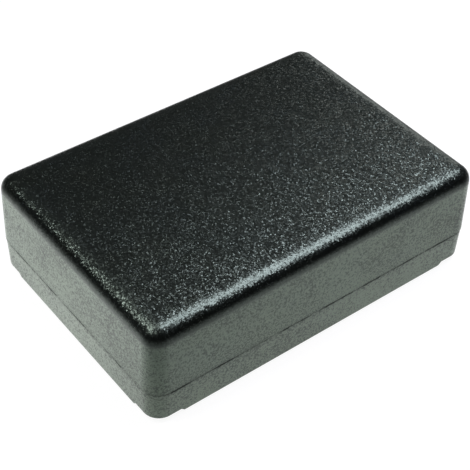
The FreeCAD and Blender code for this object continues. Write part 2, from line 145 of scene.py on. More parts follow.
class Wiring:
    """A node tree, with short ways to add nodes to it and to join them."""

    def __init__(self, tree: bpy.types.NodeTree) -> None:
        """Keeps the tree that the nodes go into."""
        self.tree = tree

    def declare(self, way: str, kinds: dict[str, str]) -> None:
        """Gives the tree its named inputs or outputs."""
        for name, kind in kinds.items():
            self.tree.interface.new_socket(name, in_out=way, socket_type=kind)

    def add(self, kind: str, inputs: dict[Any, Any] | None = None, **settings: Any) -> bpy.types.Node:
        """Adds a node and fills it in.

        Args:
            kind: Blender's own name for the type of node.
            inputs: An input's identifier, name or number, and the value or the output that it takes.
            **settings: The node's own properties.

        Returns:
            The new node.
        """
        node = self.tree.nodes.new(kind)
        for name, value in settings.items():
            setattr(node, name, value)
        for key, value in (inputs or {}).items():
            self.feed(self.find(node.inputs, key), value)
        return node

    def out(
        self, kind: str, inputs: dict[Any, Any] | None = None, output: Any = 0, **settings: Any
    ) -> Socket:
        """Adds a node as add does, and gives one of its outputs."""
        return self.find(self.add(kind, inputs, **settings).outputs, output)

    @staticmethod
    def find(sockets: Any, key: Any) -> Socket:
        """Finds an input or output of a node by its identifier, its name or its number."""
        named = [socket for socket in sockets if socket.identifier == key]
        return named[0] if named else sockets[key]

    def feed(self, socket: Socket, value: Any) -> None:
        """Gives an input its value.

        Args:
            socket: The input.
            value: An output to join to it, or a plain value.
        """
        if isinstance(value, Socket):
            self.tree.links.new(value, socket)
        elif socket.type == "RGBA" and len(value) == 3:
            socket.default_value = (*value, 1.0)
        else:
            socket.default_value = value

    def math(self, operation: str, *values: Any, clamp: bool = False) -> Socket:
        """Calculates with numbers, by Blender's name of the operation."""
        return self.out("ShaderNodeMath", dict(enumerate(values)), operation=operation, use_clamp=clamp)

    def plus(self, first: Any, second: Any) -> Socket:
        """Adds two numbers."""
        return self.math("ADD", first, second)

    def minus(self, first: Any, second: Any) -> Socket:
        """Takes the second number from the first."""
        return self.math("SUBTRACT", first, second)

    def times(self, first: Any, second: Any) -> Socket:
        """Multiplies two numbers."""
        return self.math("MULTIPLY", first, second)

    def most(self, first: Any, second: Any) -> Socket:
        """Gives the larger of two numbers."""
        return self.math("MAXIMUM", first, second)

    def below(self, value: Any, limit: Any) -> Socket:
        """Gives 1 where a value is below a limit, and 0 elsewhere."""
        return self.math("LESS_THAN", value, limit)

    def vector(self, operation: str, *values: Any, output: str = "Vector") -> Socket:
        """Calculates with vectors, by Blender's name of the operation."""
        return self.out("ShaderNodeVectorMath", dict(enumerate(values)), output, operation=operation)

    def scaled(self, vector: Any, factor: Any) -> Socket:
        """Multiplies a vector by a number."""
        inputs = {"Vector": vector, "Scale": factor}
        return self.out("ShaderNodeVectorMath", inputs, "Vector", operation="SCALE")

    def parts(self, vector: Any) -> Any:
        """Splits a vector into the outputs X, Y and Z."""
        return self.add("ShaderNodeSeparateXYZ", {"Vector": vector}).outputs

    def joined(self, x: Any, y: Any, z: Any) -> Socket:
        """Joins three numbers to a vector."""
        return self.out("ShaderNodeCombineXYZ", {"X": x, "Y": y, "Z": z})

    def step(self, value: Any, low: Any, high: Any) -> Socket:
        """Rises smoothly from 0 where the value is low to 1 where it is high."""
        inputs = {"Value": value, "From Min": low, "From Max": high}
        return self.out("ShaderNodeMapRange", inputs, interpolation_type="SMOOTHSTEP")

    def spread(self, share: Any, low: Any, high: Any) -> Socket:
        """Turns a share between 0 and 1 into a value between two others."""
        return self.out("ShaderNodeMapRange", {"Value": share, "To Min": low, "To Max": high})

    def mix(self, share: Any, first: Any, second: Any) -> Socket:
        """Mixes two numbers, of which a share of 1 gives the second."""
        inputs = {"Factor_Float": share, "A_Float": first, "B_Float": second}
        return self.out("ShaderNodeMix", inputs, "Result_Float", data_type="FLOAT")

    def mix_colour(self, share: Any, first: Any, second: Any, how: str = "MIX") -> Socket:
        """Mixes two colours, by Blender's name of the way, with that share of the second."""
        inputs = {"Factor_Float": share, "A_Color": first, "B_Color": second}
        return self.out("ShaderNodeMix", inputs, "Result_Color", data_type="RGBA", blend_type=how)

    def unit(self, place: Any, size: Any) -> Socket:
        """Scales a place so that a size becomes one unit."""
        return self.scaled(place, self.math("DIVIDE", 1.0, size))

    def noise(self, place: Any, scale: float, detail: float = 2.0) -> Socket:
        """Adds a noise with that many waves to a unit of length, in that many ever finer layers."""
        inputs = {"Vector": place, "Scale": scale, "Detail": detail}
        return self.out("ShaderNodeTexNoise", inputs, "Fac")

    def cells(self, place: Any, scale: float) -> tuple[Any, Any]:
        """Adds round cells, and gives their outputs and the parts of each one's own colour."""
        cells = self.add("ShaderNodeTexVoronoi", {"Vector": place, "Scale": scale}, feature="F1").outputs
        return cells, self.add("ShaderNodeSeparateColor", {"Color": cells["Color"]}).outputs


class Effect(Wiring):
    """A shader node group that several materials use, built once and placed in each with its own values."""

    title: ClassVar[str]
    takes: ClassVar[dict[str, str]]
    gives: ClassVar[dict[str, str]]

    def __init__(self) -> None:
        """Makes the group with its named inputs and outputs."""
        super().__init__(bpy.data.node_groups.new(self.title, "ShaderNodeTree"))
        self.declare("INPUT", self.takes)
        self.declare("OUTPUT", self.gives)
        self.given = self.add("NodeGroupInput").outputs
        self.add("NodeGroupOutput", self.wire())

    def wire(self) -> dict[str, Socket]:
        """Joins the nodes inside the group, and gives the output that each result takes."""
        raise NotImplementedError

    def place(self, wiring: Wiring, **values: Any) -> Any:
        """Puts the group into a material.

        Args:
            wiring: The material's tree.
            **values: The group's inputs, with an underscore for each space.

        Returns:
            The outputs of the placed group.
        """
        node = wiring.add("ShaderNodeGroup", node_tree=self.tree)
        for name, value in values.items():
            wiring.feed(node.inputs[spaced(name)], value)
        return node.outputs


class SparkGrain(Effect):
    """The round-topped grains that a spark-eroded mould leaves, with a few glossier specks, which the
    plastic also paints lighter as painted glints.
    """

    title = "Spark grain"
    takes = {"Place": VECTOR, "Cell": FLOAT, "Share of specks": FLOAT, "Tilt": FLOAT, "Normal": VECTOR}
    gives = {"Height": FLOAT, "Glint speck": FLOAT, "Normal": VECTOR}
    dome_height = (0.25, 0.6)
    lump_scale, lump_height = 0.55, 0.6
    rough_scale, rough_height = 1.7, 0.35
    speck_edge = (0.55, 0.25)
    lean_edge = (0.95, 0.45)

    def wire(self) -> dict[str, Socket]:
        """Joins domes, uneven heights, specks and the grains' own tilts.

        Returns:
            The outputs for the height and the specks, both from 0 to 1, and for the grains' normal.
        """
        place = self.unit(self.given["Place"], self.given["Cell"])
        grains, own = self.cells(place, 1.0)
        dome = self.minus(1.0, self.math("POWER", grains["Distance"], 2.0))
        height = self.times(dome, self.spread(own["Red"], *self.dome_height))
        height = self.plus(height, self.times(self.noise(place, self.lump_scale, 1.0), self.lump_height))
        height = self.plus(height, self.times(self.noise(place, self.rough_scale, 1.0), self.rough_height))
        chosen = self.below(own["Green"], self.given["Share of specks"])
        speck = self.times(chosen, self.step(grains["Distance"], *self.speck_edge))
        lean = self.vector("SUBTRACT", grains["Color"], (0.5, 0.5, 0.5))
        amount = self.times(self.step(grains["Distance"], *self.lean_edge), self.given["Tilt"])
        normal = self.vector("ADD", self.given["Normal"], self.scaled(lean, amount))
        return {"Height": height, "Glint speck": speck, "Normal": self.vector("NORMALIZE", normal)}


class SatinMottle(Effect):
    """The fine unevenness of a satin moulded wall, with small dark pits in it."""

    title = "Satin mottle"
    takes = {"Place": VECTOR, "Patch": FLOAT, "Pit": FLOAT}
    gives = {"Mottle": FLOAT, "Pits": FLOAT, "Height": FLOAT}
    broad_scale, broad_share = 0.5, 0.24
    fine_scale, fine_share = 0.9, 0.70
    even_share = 0.03
    pit_scale, pit_share, pit_depth = 0.45, 0.20, 0.8
    pit_edge = (0.34, 0.12)

    def wire(self) -> dict[str, Socket]:
        """Joins the patches, the pits and the fine height.

        Returns:
            The outputs for the mottle and the pits, from 0 to 1, and for the height.
        """
        spots = self.unit(self.given["Place"], self.given["Pit"])
        broad = self.noise(self.unit(self.given["Place"], self.given["Patch"]), self.broad_scale, 3.0)
        fine = self.noise(spots, self.fine_scale)
        mottle = self.plus(self.times(broad, self.broad_share), self.times(fine, self.fine_share))
        pores, own = self.cells(spots, self.pit_scale)
        chosen = self.below(own["Blue"], self.pit_share)
        pits = self.times(chosen, self.step(pores["Distance"], *self.pit_edge))
        height = self.minus(fine, self.times(pits, self.pit_depth))
        return {"Mottle": self.plus(mottle, self.even_share), "Pits": pits, "Height": height}


class TintClouds(Effect):
    """Soft clouds of slightly different tints, which pigment and flow leave in moulded plastic."""

    title = "Tint clouds"
    takes = {"Place": VECTOR, "Cloud": FLOAT, "First tint": COLOUR, "Second tint": COLOUR}
    gives = {"Tint": COLOUR}
    first_scale, second_scale = 0.7, 0.6
    second_start = (7.3, 2.1, 4.7)
    cloud_edge = (0.42, 0.62)

    def wire(self) -> dict[str, Socket]:
        """Joins two soft noises to the two tints.

        Returns:
            The output for the tint, by which a colour is multiplied.
        """
        place = self.unit(self.given["Place"], self.given["Cloud"])
        moved = self.vector("ADD", place, self.second_start)
        first = self.step(self.noise(place, self.first_scale, 1.0), *self.cloud_edge)
        second = self.step(self.noise(moved, self.second_scale, 1.0), *self.cloud_edge)
        tint = self.mix_colour(first, (1.0, 1.0, 1.0), self.given["First tint"])
        return {"Tint": self.mix_colour(second, tint, self.given["Second tint"], "MULTIPLY")}


class SeamShade(Effect):
    """Painted shade: the uneven dark line where the two shells meet, with a faint halo beside it."""

    title = "Seam shade"
    takes = {"Place": VECTOR, "Level": FLOAT, "Width": FLOAT}
    gives = {"Shade": FLOAT}
    core_width = 0.3
    uneven_scale, mark_scale = 160.0, 520.0
    uneven_edge, mark_edge = (0.38, 0.62), (0.60, 0.64)
    faintest = 0.35
    halo_width, halo_share = 2.4, 0.16

    def wire(self) -> dict[str, Socket]:
        """Joins a band at the seam's level to a noise along it.

        Returns:
            The output for the shade, from 0 to 1.
        """
        place, width = self.given["Place"], self.given["Width"]
        off = self.math("ABSOLUTE", self.minus(self.parts(place)["Z"], self.given["Level"]))
        band = self.step(off, width, self.times(width, self.core_width))
        uneven = self.step(self.noise(place, self.uneven_scale), *self.uneven_edge)
        marks = self.step(self.noise(place, self.mark_scale, 1.0), *self.mark_edge)
        line = self.times(band, self.most(self.spread(uneven, self.faintest, 1.0), marks))
        halo = self.step(off, self.times(width, self.halo_width), width)
        return {"Shade": self.most(line, self.times(halo, self.halo_share))}


class EdgeCrown(Effect):
    """The top's rounding: it starts softly on the flat top, and handling has smoothed its grain."""

    title = "Edge crown"
    takes = {
        "Place": VECTOR,
        "Half length": FLOAT,
        "Half width": FLOAT,
        "Reach": FLOAT,
        "Lean": FLOAT,
        "Normal": VECTOR,
    }
    gives = {"Normal": VECTOR, "Edge": FLOAT}
    worn_full, worn_ends = 0.9, 1.5

    def wire(self) -> dict[str, Socket]:
        """Leans the normal outwards beside the four edges of the flat top, and marks the rounding.

        Returns:
            The outputs for the leaning normal, and for the rounding, which is 1 there.
        """
        place, reach = self.parts(self.given["Place"]), self.given["Reach"]
        worn = (self.times(reach, self.worn_ends), self.times(reach, self.worn_full))
        leans, edges = [], []
        for axis, half in (("X", "Half length"), ("Y", "Half width")):
            off = self.minus(self.math("ABSOLUTE", place[axis]), self.given[half])
            near = self.step(off, self.times(reach, -1.0), 0.0)
            edges.append(self.times(near, self.step(off, *worn)))
            rise = self.times(near, self.step(off, reach, 0.0))
            leans.append(self.times(rise, self.math("SIGN", place[axis])))
        lean = self.scaled(self.joined(*leans, 0.0), self.given["Lean"])
        normal = self.vector("ADD", self.given["Normal"], lean)
        return {"Normal": self.vector("NORMALIZE", normal), "Edge": self.most(*edges)}


class HollowMask(Effect):
    """Tells the inside of the case from its outside."""

    title = "Hollow"
    takes = {
        "Place": VECTOR,
        "Half length": FLOAT,
        "Half width": FLOAT,
        "Half corner": FLOAT,
        "Floor": FLOAT,
        "Ceiling": FLOAT,
    }
    gives = {"Inside": FLOAT}

    def wire(self) -> dict[str, Socket]:
        """Compares the place with the hollow's walls, corners, floor and ceiling.

        Returns:
            The output that is 1 inside and 0 outside.
        """
        place = self.parts(self.given["Place"])
        aside, away = self.math("ABSOLUTE", place["X"]), self.math("ABSOLUTE", place["Y"])
        inside = self.math("GREATER_THAN", place["Z"], self.given["Floor"])
        limited = {
            "Half length": aside,
            "Half width": away,
            "Half corner": self.plus(aside, away),
            "Ceiling": place["Z"],
        }
        for limit, value in limited.items():
            inside = self.times(inside, self.below(value, self.given[limit]))
        return {"Inside": inside}


@dataclass(frozen=True)
class Effects:
    """The shader groups that the materials share."""

    grain: SparkGrain
    mottle: SatinMottle
    clouds: TintClouds
    seam: SeamShade
    crown: EdgeCrown
    hollow: HollowMask


@dataclass(frozen=True)
class CaseHollow:
    """Where the inside of the closed case is."""

    half_length: float = 35.0
    half_width: float = 24.0
    half_corner: float = 58.2
    floor: float = 1.95
    ceiling: float = 19.05


@dataclass(frozen=True)
class PlasticFinish:
    """Moulded black plastic: a coarse glossy grain on top, satin walls and a smoother inside."""

    name: str
    outside: Outside
    top_colour: Colour = (0.0010, 0.0012, 0.0011)
    # Painted glints: the lighter colour of the glossy specks on the grained top.
    painted_glint_colour: Colour = (0.024, 0.028, 0.026)
    wall_colour: Colour = (0.020, 0.027, 0.018)
    inside_colour: Colour = (0.020, 0.021, 0.021)
    # Painted shade: the near-black colour of the seam line.
    seam_shade_colour: Colour = (0.004, 0.004, 0.004)
    first_tint: Colour = (0.90, 0.98, 1.16)
    second_tint: Colour = (1.08, 1.06, 0.88)
    wall_tint_share: float = 0.6
    seam_level: float = 6.88
    seam_width: float = 0.45
    seam_strength: float = 0.9
    gloss_levels: Pair = (17.6, 18.6)
    grain_levels: Pair = (19.3, 20.5)
    crown_half_length: float = 32.96
    crown_half_width: float = 21.96
    crown_reach: float = 1.3
    crown_lean: float = 0.06
    grain_cell: float = 0.22
    grain_depth: float = 0.010
    grain_specks: float = 0.14
    grain_tilt: float = 0.38
    edge_tilt: float = 0.31
    wall_cell: float = 0.30
    wall_depth: float = 0.012
    wall_tilt: float = 0.12
    wall_shades: Pair = (-1.5, 3.5)
    patch: float = 5.0
    pit: float = 0.30
    pit_shade: float = 0.45
    pit_coat: float = 0.25
    cloud: float = 6.0
    top_roughness: float = 0.28
    edge_roughness: float = 0.315
    speck_gloss: float = 0.7
    wall_roughness: float = 0.32
    wall_roughness_swing: float = 0.08
    inside_roughness: float = 0.38
    inside_relief: float = 0.25
    wall_coat: float = 0.76
    wall_coat_swing: float = 5.0
    coat_roughness: float = 0.28
    coat_ior: float = 1.56
    specular: float = 1.0
    sheen_tint: Colour = (0.82, 1.0, 0.87)
    under_sheen: Colour = (0.87, 1.0, 0.86)
    hollow: CaseHollow = CaseHollow()


class PlasticSurface(Wiring):
    """A shell's plastic in nodes: where each of its surfaces is, and what shows there."""

    def __init__(self, finish: PlasticFinish, effects: Effects) -> None:
        """Starts the material with its masks, grains and patterns.

        Args:
            finish: The sizes, colours and gloss.
            effects: The shared shader groups.
        """
        self.material = bpy.data.materials.new(finish.name)
        super().__init__(emptied(self.material))
        self.finish = finish
        place = self.out("ShaderNodeTexCoord", output="Object")
        level = self.parts(place)["Z"]
        self.inside = effects.hollow.place(self, place=place, **metres(finish.hollow))["Inside"]
        outer = self.minus(1.0, self.inside)
        self.top = self.above(level, finish.gloss_levels)
        self.grained = self.times(self.above(level, finish.grain_levels), outer)
        crowned = effects.crown.place(
            self,
            place=place,
            half_length=finish.crown_half_length * MM,
            half_width=finish.crown_half_width * MM,
            reach=finish.crown_reach * MM,
            lean=self.times(self.grained, finish.crown_lean),
            normal=self.out("ShaderNodeNewGeometry", output="Normal"),
        )
        self.edge = crowned["Edge"]
        self.fine = effects.grain.place(
            self,
            place=place,
            cell=finish.wall_cell * MM,
            share_of_specks=0.0,
            tilt=self.times(outer, finish.wall_tilt),
            normal=crowned["Normal"],
        )
        self.grain = effects.grain.place(
            self,
            place=place,
            cell=finish.grain_cell * MM,
            share_of_specks=finish.grain_specks,
            tilt=self.times(self.grained, self.mix(self.edge, finish.grain_tilt, finish.edge_tilt)),
            normal=self.fine["Normal"],
        )
        self.mottle = effects.mottle.place(self, place=place, patch=finish.patch * MM, pit=finish.pit * MM)
        # Painted shade along the seam where the two shells meet.
        line = {"level": finish.seam_level * MM, "width": finish.seam_width * MM}
        self.dark = self.times(effects.seam.place(self, place=place, **line)["Shade"], finish.seam_strength)
        tints = {"first_tint": finish.first_tint, "second_tint": finish.second_tint}
        self.tint = effects.clouds.place(self, place=place, cloud=finish.cloud * MM, **tints)["Tint"]

    def above(self, level: Any, limits: Pair) -> Any:
        """Marks the top of a shell that has a grained one.

        Args:
            level: The output for the height of the place.
            limits: Where the mark starts and where it is full, in millimetres.

        Returns:
            The output that is 1 on top, or a plain 0 for the other shell.
        """
        if self.finish.outside is Outside.PLAIN:
            return 0.0
        return self.step(level, *(limit * MM for limit in limits))

    def build(self) -> bpy.types.Material:
        """Joins the colour, the gloss and the relief to the shader.

        Returns:
            The material.
        """
        relief = {"Strength": 1.0, "Distance": 1.0, "Height": self.height(), "Normal": self.grain["Normal"]}
        inputs = {
            "Base Color": self.colour(),
            "Roughness": self.roughness(),
            "Coat Weight": self.coat(),
            "Coat Roughness": self.finish.coat_roughness,
            "Coat IOR": self.finish.coat_ior,
            "Coat Tint": self.finish.under_sheen,
            "Specular IOR Level": self.finish.specular,
            "Specular Tint": self.finish.sheen_tint,
            "Normal": self.out("ShaderNodeBump", relief, "Normal"),
        }
        shader = self.out("ShaderNodeBsdfPrincipled", inputs, "BSDF")
        self.add("ShaderNodeOutputMaterial", {"Surface": shader})
        return self.material

    def colour(self) -> Socket:
        """Joins the colours of the top with its painted glints, the walls, the inside and the painted seam
        shade.

        Returns:
            The output for the colour.
        """
        finish = self.finish
        # Painted glints: the glossy specks are painted lighter than the black top.
        on_top = self.mix_colour(self.grain["Glint speck"], finish.top_colour, finish.painted_glint_colour)
        shade = self.spread(self.mottle["Mottle"], *finish.wall_shades)
        shade = self.times(shade, self.spread(self.mottle["Pits"], 1.0, finish.pit_shade))
        outer = self.mix_colour(self.top, self.scaled(finish.wall_colour, shade), on_top)
        share = self.spread(self.top, finish.wall_tint_share, 1.0)
        outer = self.mix_colour(share, outer, self.tint, "MULTIPLY")
        # Painted seam shade: the colour goes almost black along the seam.
        outer = self.mix_colour(self.dark, outer, finish.seam_shade_colour)
        return self.mix_colour(self.inside, outer, finish.inside_colour)

    def coat(self) -> Socket:
        """Joins the sheen of the polished walls, which the top and the inside don't have, and which the
        painted seam shade takes away.

        Returns:
            The output for the sheen's weight.
        """
        middle, swing = self.finish.wall_coat, self.finish.wall_coat_swing
        weight = self.spread(self.mottle["Mottle"], middle - swing, middle + swing)
        weight = self.times(weight, self.spread(self.mottle["Pits"], 1.0, self.finish.pit_coat))
        bare = self.most(self.most(self.top, self.inside), self.dark)
        return self.math("MULTIPLY", weight, self.minus(1.0, bare), clamp=True)

    def roughness(self) -> Socket:
        """Joins the roughness of the top, its rounding, the walls and the inside.

        Returns:
            The output for the roughness.
        """
        finish = self.finish
        plain = self.mix(self.edge, finish.top_roughness, finish.edge_roughness)
        on_top = self.times(plain, self.spread(self.grain["Glint speck"], 1.0, finish.speck_gloss))
        middle, swing = finish.wall_roughness, finish.wall_roughness_swing
        on_wall = self.spread(self.mottle["Mottle"], middle - swing, middle + swing)
        outer = self.mix(self.dark, self.mix(self.top, on_wall, on_top), 1.0)
        return self.mix(self.inside, outer, finish.inside_roughness)

    def height(self) -> Socket:
        """Joins the heights of the coarse grain, the fine grain and the pits.

        Returns:
            The output for the height, in metres.
        """
        coarse = self.times(self.grain["Height"], self.finish.grain_depth * MM)
        satin = self.plus(self.fine["Height"], self.mottle["Height"])
        satin = self.times(satin, self.finish.wall_depth * MM)
        height = self.mix(self.grained, satin, coarse)
        return self.times(height, self.spread(self.inside, 1.0, self.finish.inside_relief))


@dataclass(frozen=True)
class ZincFinish:
    """Bright zinc on turned steel, darker and rougher down in the thread, unevenly."""

    name: str = "screw_zinc"
    bright: Colour = (0.62, 0.63, 0.65)
    dull: Colour = (0.30, 0.31, 0.32)
    blue: Colour = (0.90, 0.97, 1.06)
    blue_edge: Pair = (0.45, 0.65)
    stains_per_metre: float = 900.0
    least_stain: float = 0.3
    roughness: float = 0.30
    roughness_swing: Pair = (-0.06, 0.10)
    thread_roughness: float = 0.2
    turning: float = 0.05
    turning_depth: float = 0.004

    def material(self, centre: Vector, core: float, crest: float) -> bpy.types.Material:
        """Builds the material for screws that stand at the four mirrored corners.

        Args:
            centre: The axis of the screw at the corner where X and Y are positive.
            core: The thread's inner radius, in metres.
            crest: The thread's outer radius, in metres.

        Returns:
            The material.
        """
        made = bpy.data.materials.new(self.name)
        wiring = Wiring(emptied(made))
        place = wiring.out("ShaderNodeTexCoord", output="Object")
        local = wiring.vector("SUBTRACT", wiring.vector("ABSOLUTE", place), (centre.x, centre.y, 0.0))
        across = wiring.vector("MULTIPLY", local, (1.0, 1.0, 0.0))
        radius = wiring.vector("LENGTH", across, output="Value")
        rings = wiring.joined(radius, 0.0, wiring.parts(place)["Z"])
        lines = wiring.noise(rings, 1.0 / (self.turning * MM))
        stains = wiring.noise(place, self.stains_per_metre, 3.0)
        # Darker and rougher towards the root of the thread, more so where the stain noise is high.
        deep = wiring.step(radius, crest, core)
        dull = wiring.times(deep, wiring.spread(stains, self.least_stain, 1.0))
        colour = wiring.mix_colour(dull, self.bright, self.dull)
        colour = wiring.mix_colour(wiring.step(stains, *self.blue_edge), colour, self.blue, "MULTIPLY")
        roughness = wiring.plus(wiring.spread(lines, *self.roughness_swing), self.roughness)
        roughness = wiring.plus(roughness, wiring.times(dull, self.thread_roughness))
        depth = wiring.times(lines, self.turning_depth * MM)
        bump = wiring.out("ShaderNodeBump", {"Strength": 1.0, "Distance": 1.0, "Height": depth}, "Normal")
        inputs = {"Base Color": colour, "Metallic": 1.0, "Roughness": roughness, "Normal": bump}
        shader = wiring.out("ShaderNodeBsdfPrincipled", inputs, "BSDF")
        wiring.add("ShaderNodeOutputMaterial", {"Surface": shader})
        return made


@dataclass
class Shell:
    """One moulded half of the case, whose solid comes from model.glb."""

    node: str
    finish: PlasticFinish

    def dress(self, effects: Effects) -> bpy.types.Object:
        """Gives the shell its plastic.

        Args:
            effects: The shared shader groups.

        Returns:
            The shell's object.
        """
        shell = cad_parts[self.node]
        material = PlasticSurface(self.finish, effects).build()
        for slot in shell.material_slots:
            slot.material = material
        return shell


@dataclass(frozen=True)
class ScrewSizes:
    """The sizes of one screw, but for its length, which comes from model.glb."""

    head_radius: float = 1.9
    rim: float = 0.3
    edge: float = 0.12
    neck: float = 0.55
    crest_radius: float = 1.09
    core_radius: float = 0.80
    pitch: float = 0.8
    tip_length: float = 1.8
    tip_radius: float = 0.3
    recess_span: float = 2.1
    recess_width: float = 0.5
    recess_depth: float = 0.9
    weld: float = 0.004


class ScrewTree(Wiring):
    """The tree that makes one screw and stands it on each seat."""

    thread_steps = (0.0, 0.42, 0.66, 0.76)
    thread_raised = (0.0, 0.0, 1.0, 1.0)
    spare_turns, turns_below = 3.0, 2.0
    fade_share = 0.55
    neck_share = 0.96
    edge_share = 0.3
    sharp_angle = 28.0

    def __init__(self) -> None:
        """Makes the tree with its named inputs and joins its nodes."""
        super().__init__(bpy.data.node_groups.new("Corner screws", "GeometryNodeTree"))
        sizes = dict.fromkeys(map(spaced, ("length", *vars(ScrewSizes()), "taper")), FLOAT)
        others = {"Sides": WHOLE, "Seed": WHOLE, "Material": "NodeSocketMaterial"}
        self.declare("INPUT", {"Geometry": GEOMETRY} | sizes | others)
        self.declare("OUTPUT", {"Geometry": GEOMETRY})
        self.given = self.add("NodeGroupInput").outputs
        solid = self.add("GeometryNodeMeshBoolean", operation="UNION", solver="MANIFOLD")
        for body in (self.threaded_rod(), self.head()):
            self.feed(solid.inputs["Mesh 2"], body)
        whole = {"Mesh 1": solid.outputs["Mesh"]}
        cut = self.add("GeometryNodeMeshBoolean", whole, operation="DIFFERENCE", solver="MANIFOLD")
        for turned in (False, True):
            self.feed(cut.inputs["Mesh 2"], self.recess_wing(turned))
        limits = {"Min": (0.0, 0.0, 0.0), "Max": (0.0, 0.0, math.tau), "Seed": self.given["Seed"]}
        turn = self.out("FunctionNodeRandomValue", limits, data_type="FLOAT_VECTOR")
        rotation = self.out("FunctionNodeEulerToRotation", {"Euler": turn})
        seats = {"Points": self.given["Geometry"], "Instance": self.smoothed(cut.outputs["Mesh"])}
        stood = self.out("GeometryNodeInstanceOnPoints", seats | {"Rotation": rotation}, "Instances")
        real = self.out("GeometryNodeRealizeInstances", {"Geometry": stood})
        dressed = {"Geometry": real, "Material": self.given["Material"]}
        self.add("NodeGroupOutput", {"Geometry": self.out("GeometryNodeSetMaterial", dressed)})

    def turned_body(self, rows: Any) -> tuple[Socket, Socket, Socket]:
        """Starts a body of revolution as a grid, whose columns go round and whose rows go up.

        Args:
            rows: How many rows of points it has.

        Returns:
            The grid, the share of a full turn, and the number of the row.
        """
        columns = self.plus(self.given["Sides"], 1.0)
        grid = self.add("GeometryNodeMeshGrid", {"Vertices X": columns, "Vertices Y": rows}).outputs
        shares = self.parts(grid["UV Map"])
        row = self.math("ROUND", self.times(shares["Y"], self.minus(rows, 1.0)))
        return grid["Mesh"], shares["X"], row

    def wrapped(self, grid: Any, turn: Any, radius: Any, height: Any) -> Socket:
        """Wraps a grid round the axis and closes it.

        Args:
            grid: The grid.
            turn: The share of a full turn at each point.
            radius: The distance from the axis at each point.
            height: The distance along the axis at each point.

        Returns:
            The closed mesh.
        """
        angle = self.times(turn, math.tau)
        x = self.times(radius, self.math("COSINE", angle))
        y = self.times(radius, self.math("SINE", angle))
        inputs = {"Geometry": grid, "Position": self.joined(x, y, height)}
        merge = {"Geometry": self.out("GeometryNodeSetPosition", inputs), "Distance": self.given["Weld"]}
        return self.out("GeometryNodeMergeByDistance", merge)

    def pick(self, index: Any, choices: tuple[Any, ...]) -> Socket:
        """Picks a number by its place in a list.

        Args:
            index: The output for the place.
            choices: The numbers or outputs.

        Returns:
            The picked number.
        """
        node = self.add("GeometryNodeIndexSwitch", {"Index": index}, data_type="FLOAT")
        while len(node.index_switch_items) < len(choices):
            node.index_switch_items.new()
        for number, choice in enumerate(choices, 1):
            self.feed(node.inputs[number], choice)
        return node.outputs[0]

    def threaded_rod(self) -> Socket:
        """Builds the threaded rod and its tapered tip.

        A grid is sheared by one pitch in a turn, so that its rows follow the thread. Rows that would
        reach past an end are held back at it, and the merge takes them out.

        Returns:
            The closed mesh.
        """
        given, rows = self.given, float(len(self.thread_steps))
        start = self.plus(given["Rim"], given["Neck"])
        reach = self.minus(given["Length"], start)
        turns = self.plus(self.math("CEIL", self.math("DIVIDE", reach, given["Pitch"])), self.spare_turns)
        last = self.times(turns, rows)
        grid, turn, row = self.turned_body(self.plus(last, 1.0))
        whole = self.math("FLOOR", self.math("DIVIDE", self.plus(row, 0.5), rows))
        part = self.minus(row, self.times(whole, rows))
        along = self.plus(whole, self.pick(part, self.thread_steps))
        along = self.times(self.plus(along, self.minus(turn, self.turns_below)), given["Pitch"])
        along = self.math("MINIMUM", self.most(along, 0.0), reach)
        bulk = self.math("DIVIDE", self.minus(reach, along), given["Tip length"], clamp=True)
        deep = self.minus(given["Crest radius"], given["Core radius"])
        deep = self.times(deep, self.step(along, 0.0, given["Pitch"]))
        deep = self.times(deep, self.step(bulk, 0.0, self.fade_share))
        core = self.mix(bulk, given["Tip radius"], given["Core radius"])
        radius = self.plus(core, self.times(deep, self.pick(part, self.thread_raised)))
        between = self.below(row, self.minus(last, 0.5))
        between = self.times(self.math("GREATER_THAN", row, 0.5), between)
        return self.wrapped(grid, turn, self.times(radius, between), self.plus(along, start))

    def head(self) -> Socket:
        """Builds the countersunk head.

        Returns:
            The closed mesh.
        """
        outer, edge, rim = self.given["Head radius"], self.given["Edge"], self.given["Rim"]
        neck = self.times(self.given["Core radius"], self.neck_share)
        soft = self.times(edge, self.edge_share)
        under = self.plus(self.minus(outer, neck), rim)
        radii = (0.0, self.minus(outer, edge), self.minus(outer, soft), outer, outer, neck, 0.0)
        levels = (0.0, 0.0, soft, edge, rim, under, under)
        grid, turn, row = self.turned_body(len(radii))
        return self.wrapped(grid, turn, self.pick(row, radii), self.pick(row, levels))

    def recess_wing(self, turned: bool) -> Socket:
        """Builds one tapered bar of the cross for the driver.

        Args:
            turned: Whether the bar lies across the other one.

        Returns:
            The bar's mesh, from below the head's face to the recess's bottom.
        """
        span, width, depth = (self.given["Recess " + size] for size in ("span", "width", "depth"))
        if turned:
            span, width = width, span
        size = self.joined(span, width, self.times(depth, 2.0))
        bar = self.out("GeometryNodeMeshCube", {"Size": size}, "Mesh")
        spot = self.out("GeometryNodeInputPosition")
        share = self.math("DIVIDE", self.parts(spot)["Z"], depth, clamp=True)
        narrow = self.minus(1.0, self.times(share, self.given["Taper"]))
        moved = self.vector("MULTIPLY", spot, self.joined(narrow, narrow, 1.0))
        return self.out("GeometryNodeSetPosition", {"Geometry": bar, "Position": moved})

    def smoothed(self, mesh: Any) -> Socket:
        """Shades the mesh smooth and keeps its real edges sharp.

        Args:
            mesh: The screw's mesh.

        Returns:
            The shaded mesh.
        """
        faces = self.out("GeometryNodeSetShadeSmooth", {"Geometry": mesh, "Shade Smooth": True})
        angle = self.out("GeometryNodeInputMeshEdgeAngle", output="Unsigned Angle")
        sharp = self.math("GREATER_THAN", angle, math.radians(self.sharp_angle))
        inputs = {"Geometry": faces, "Selection": sharp, "Shade Smooth": False}
        return self.out("GeometryNodeSetShadeSmooth", inputs, domain="EDGE")


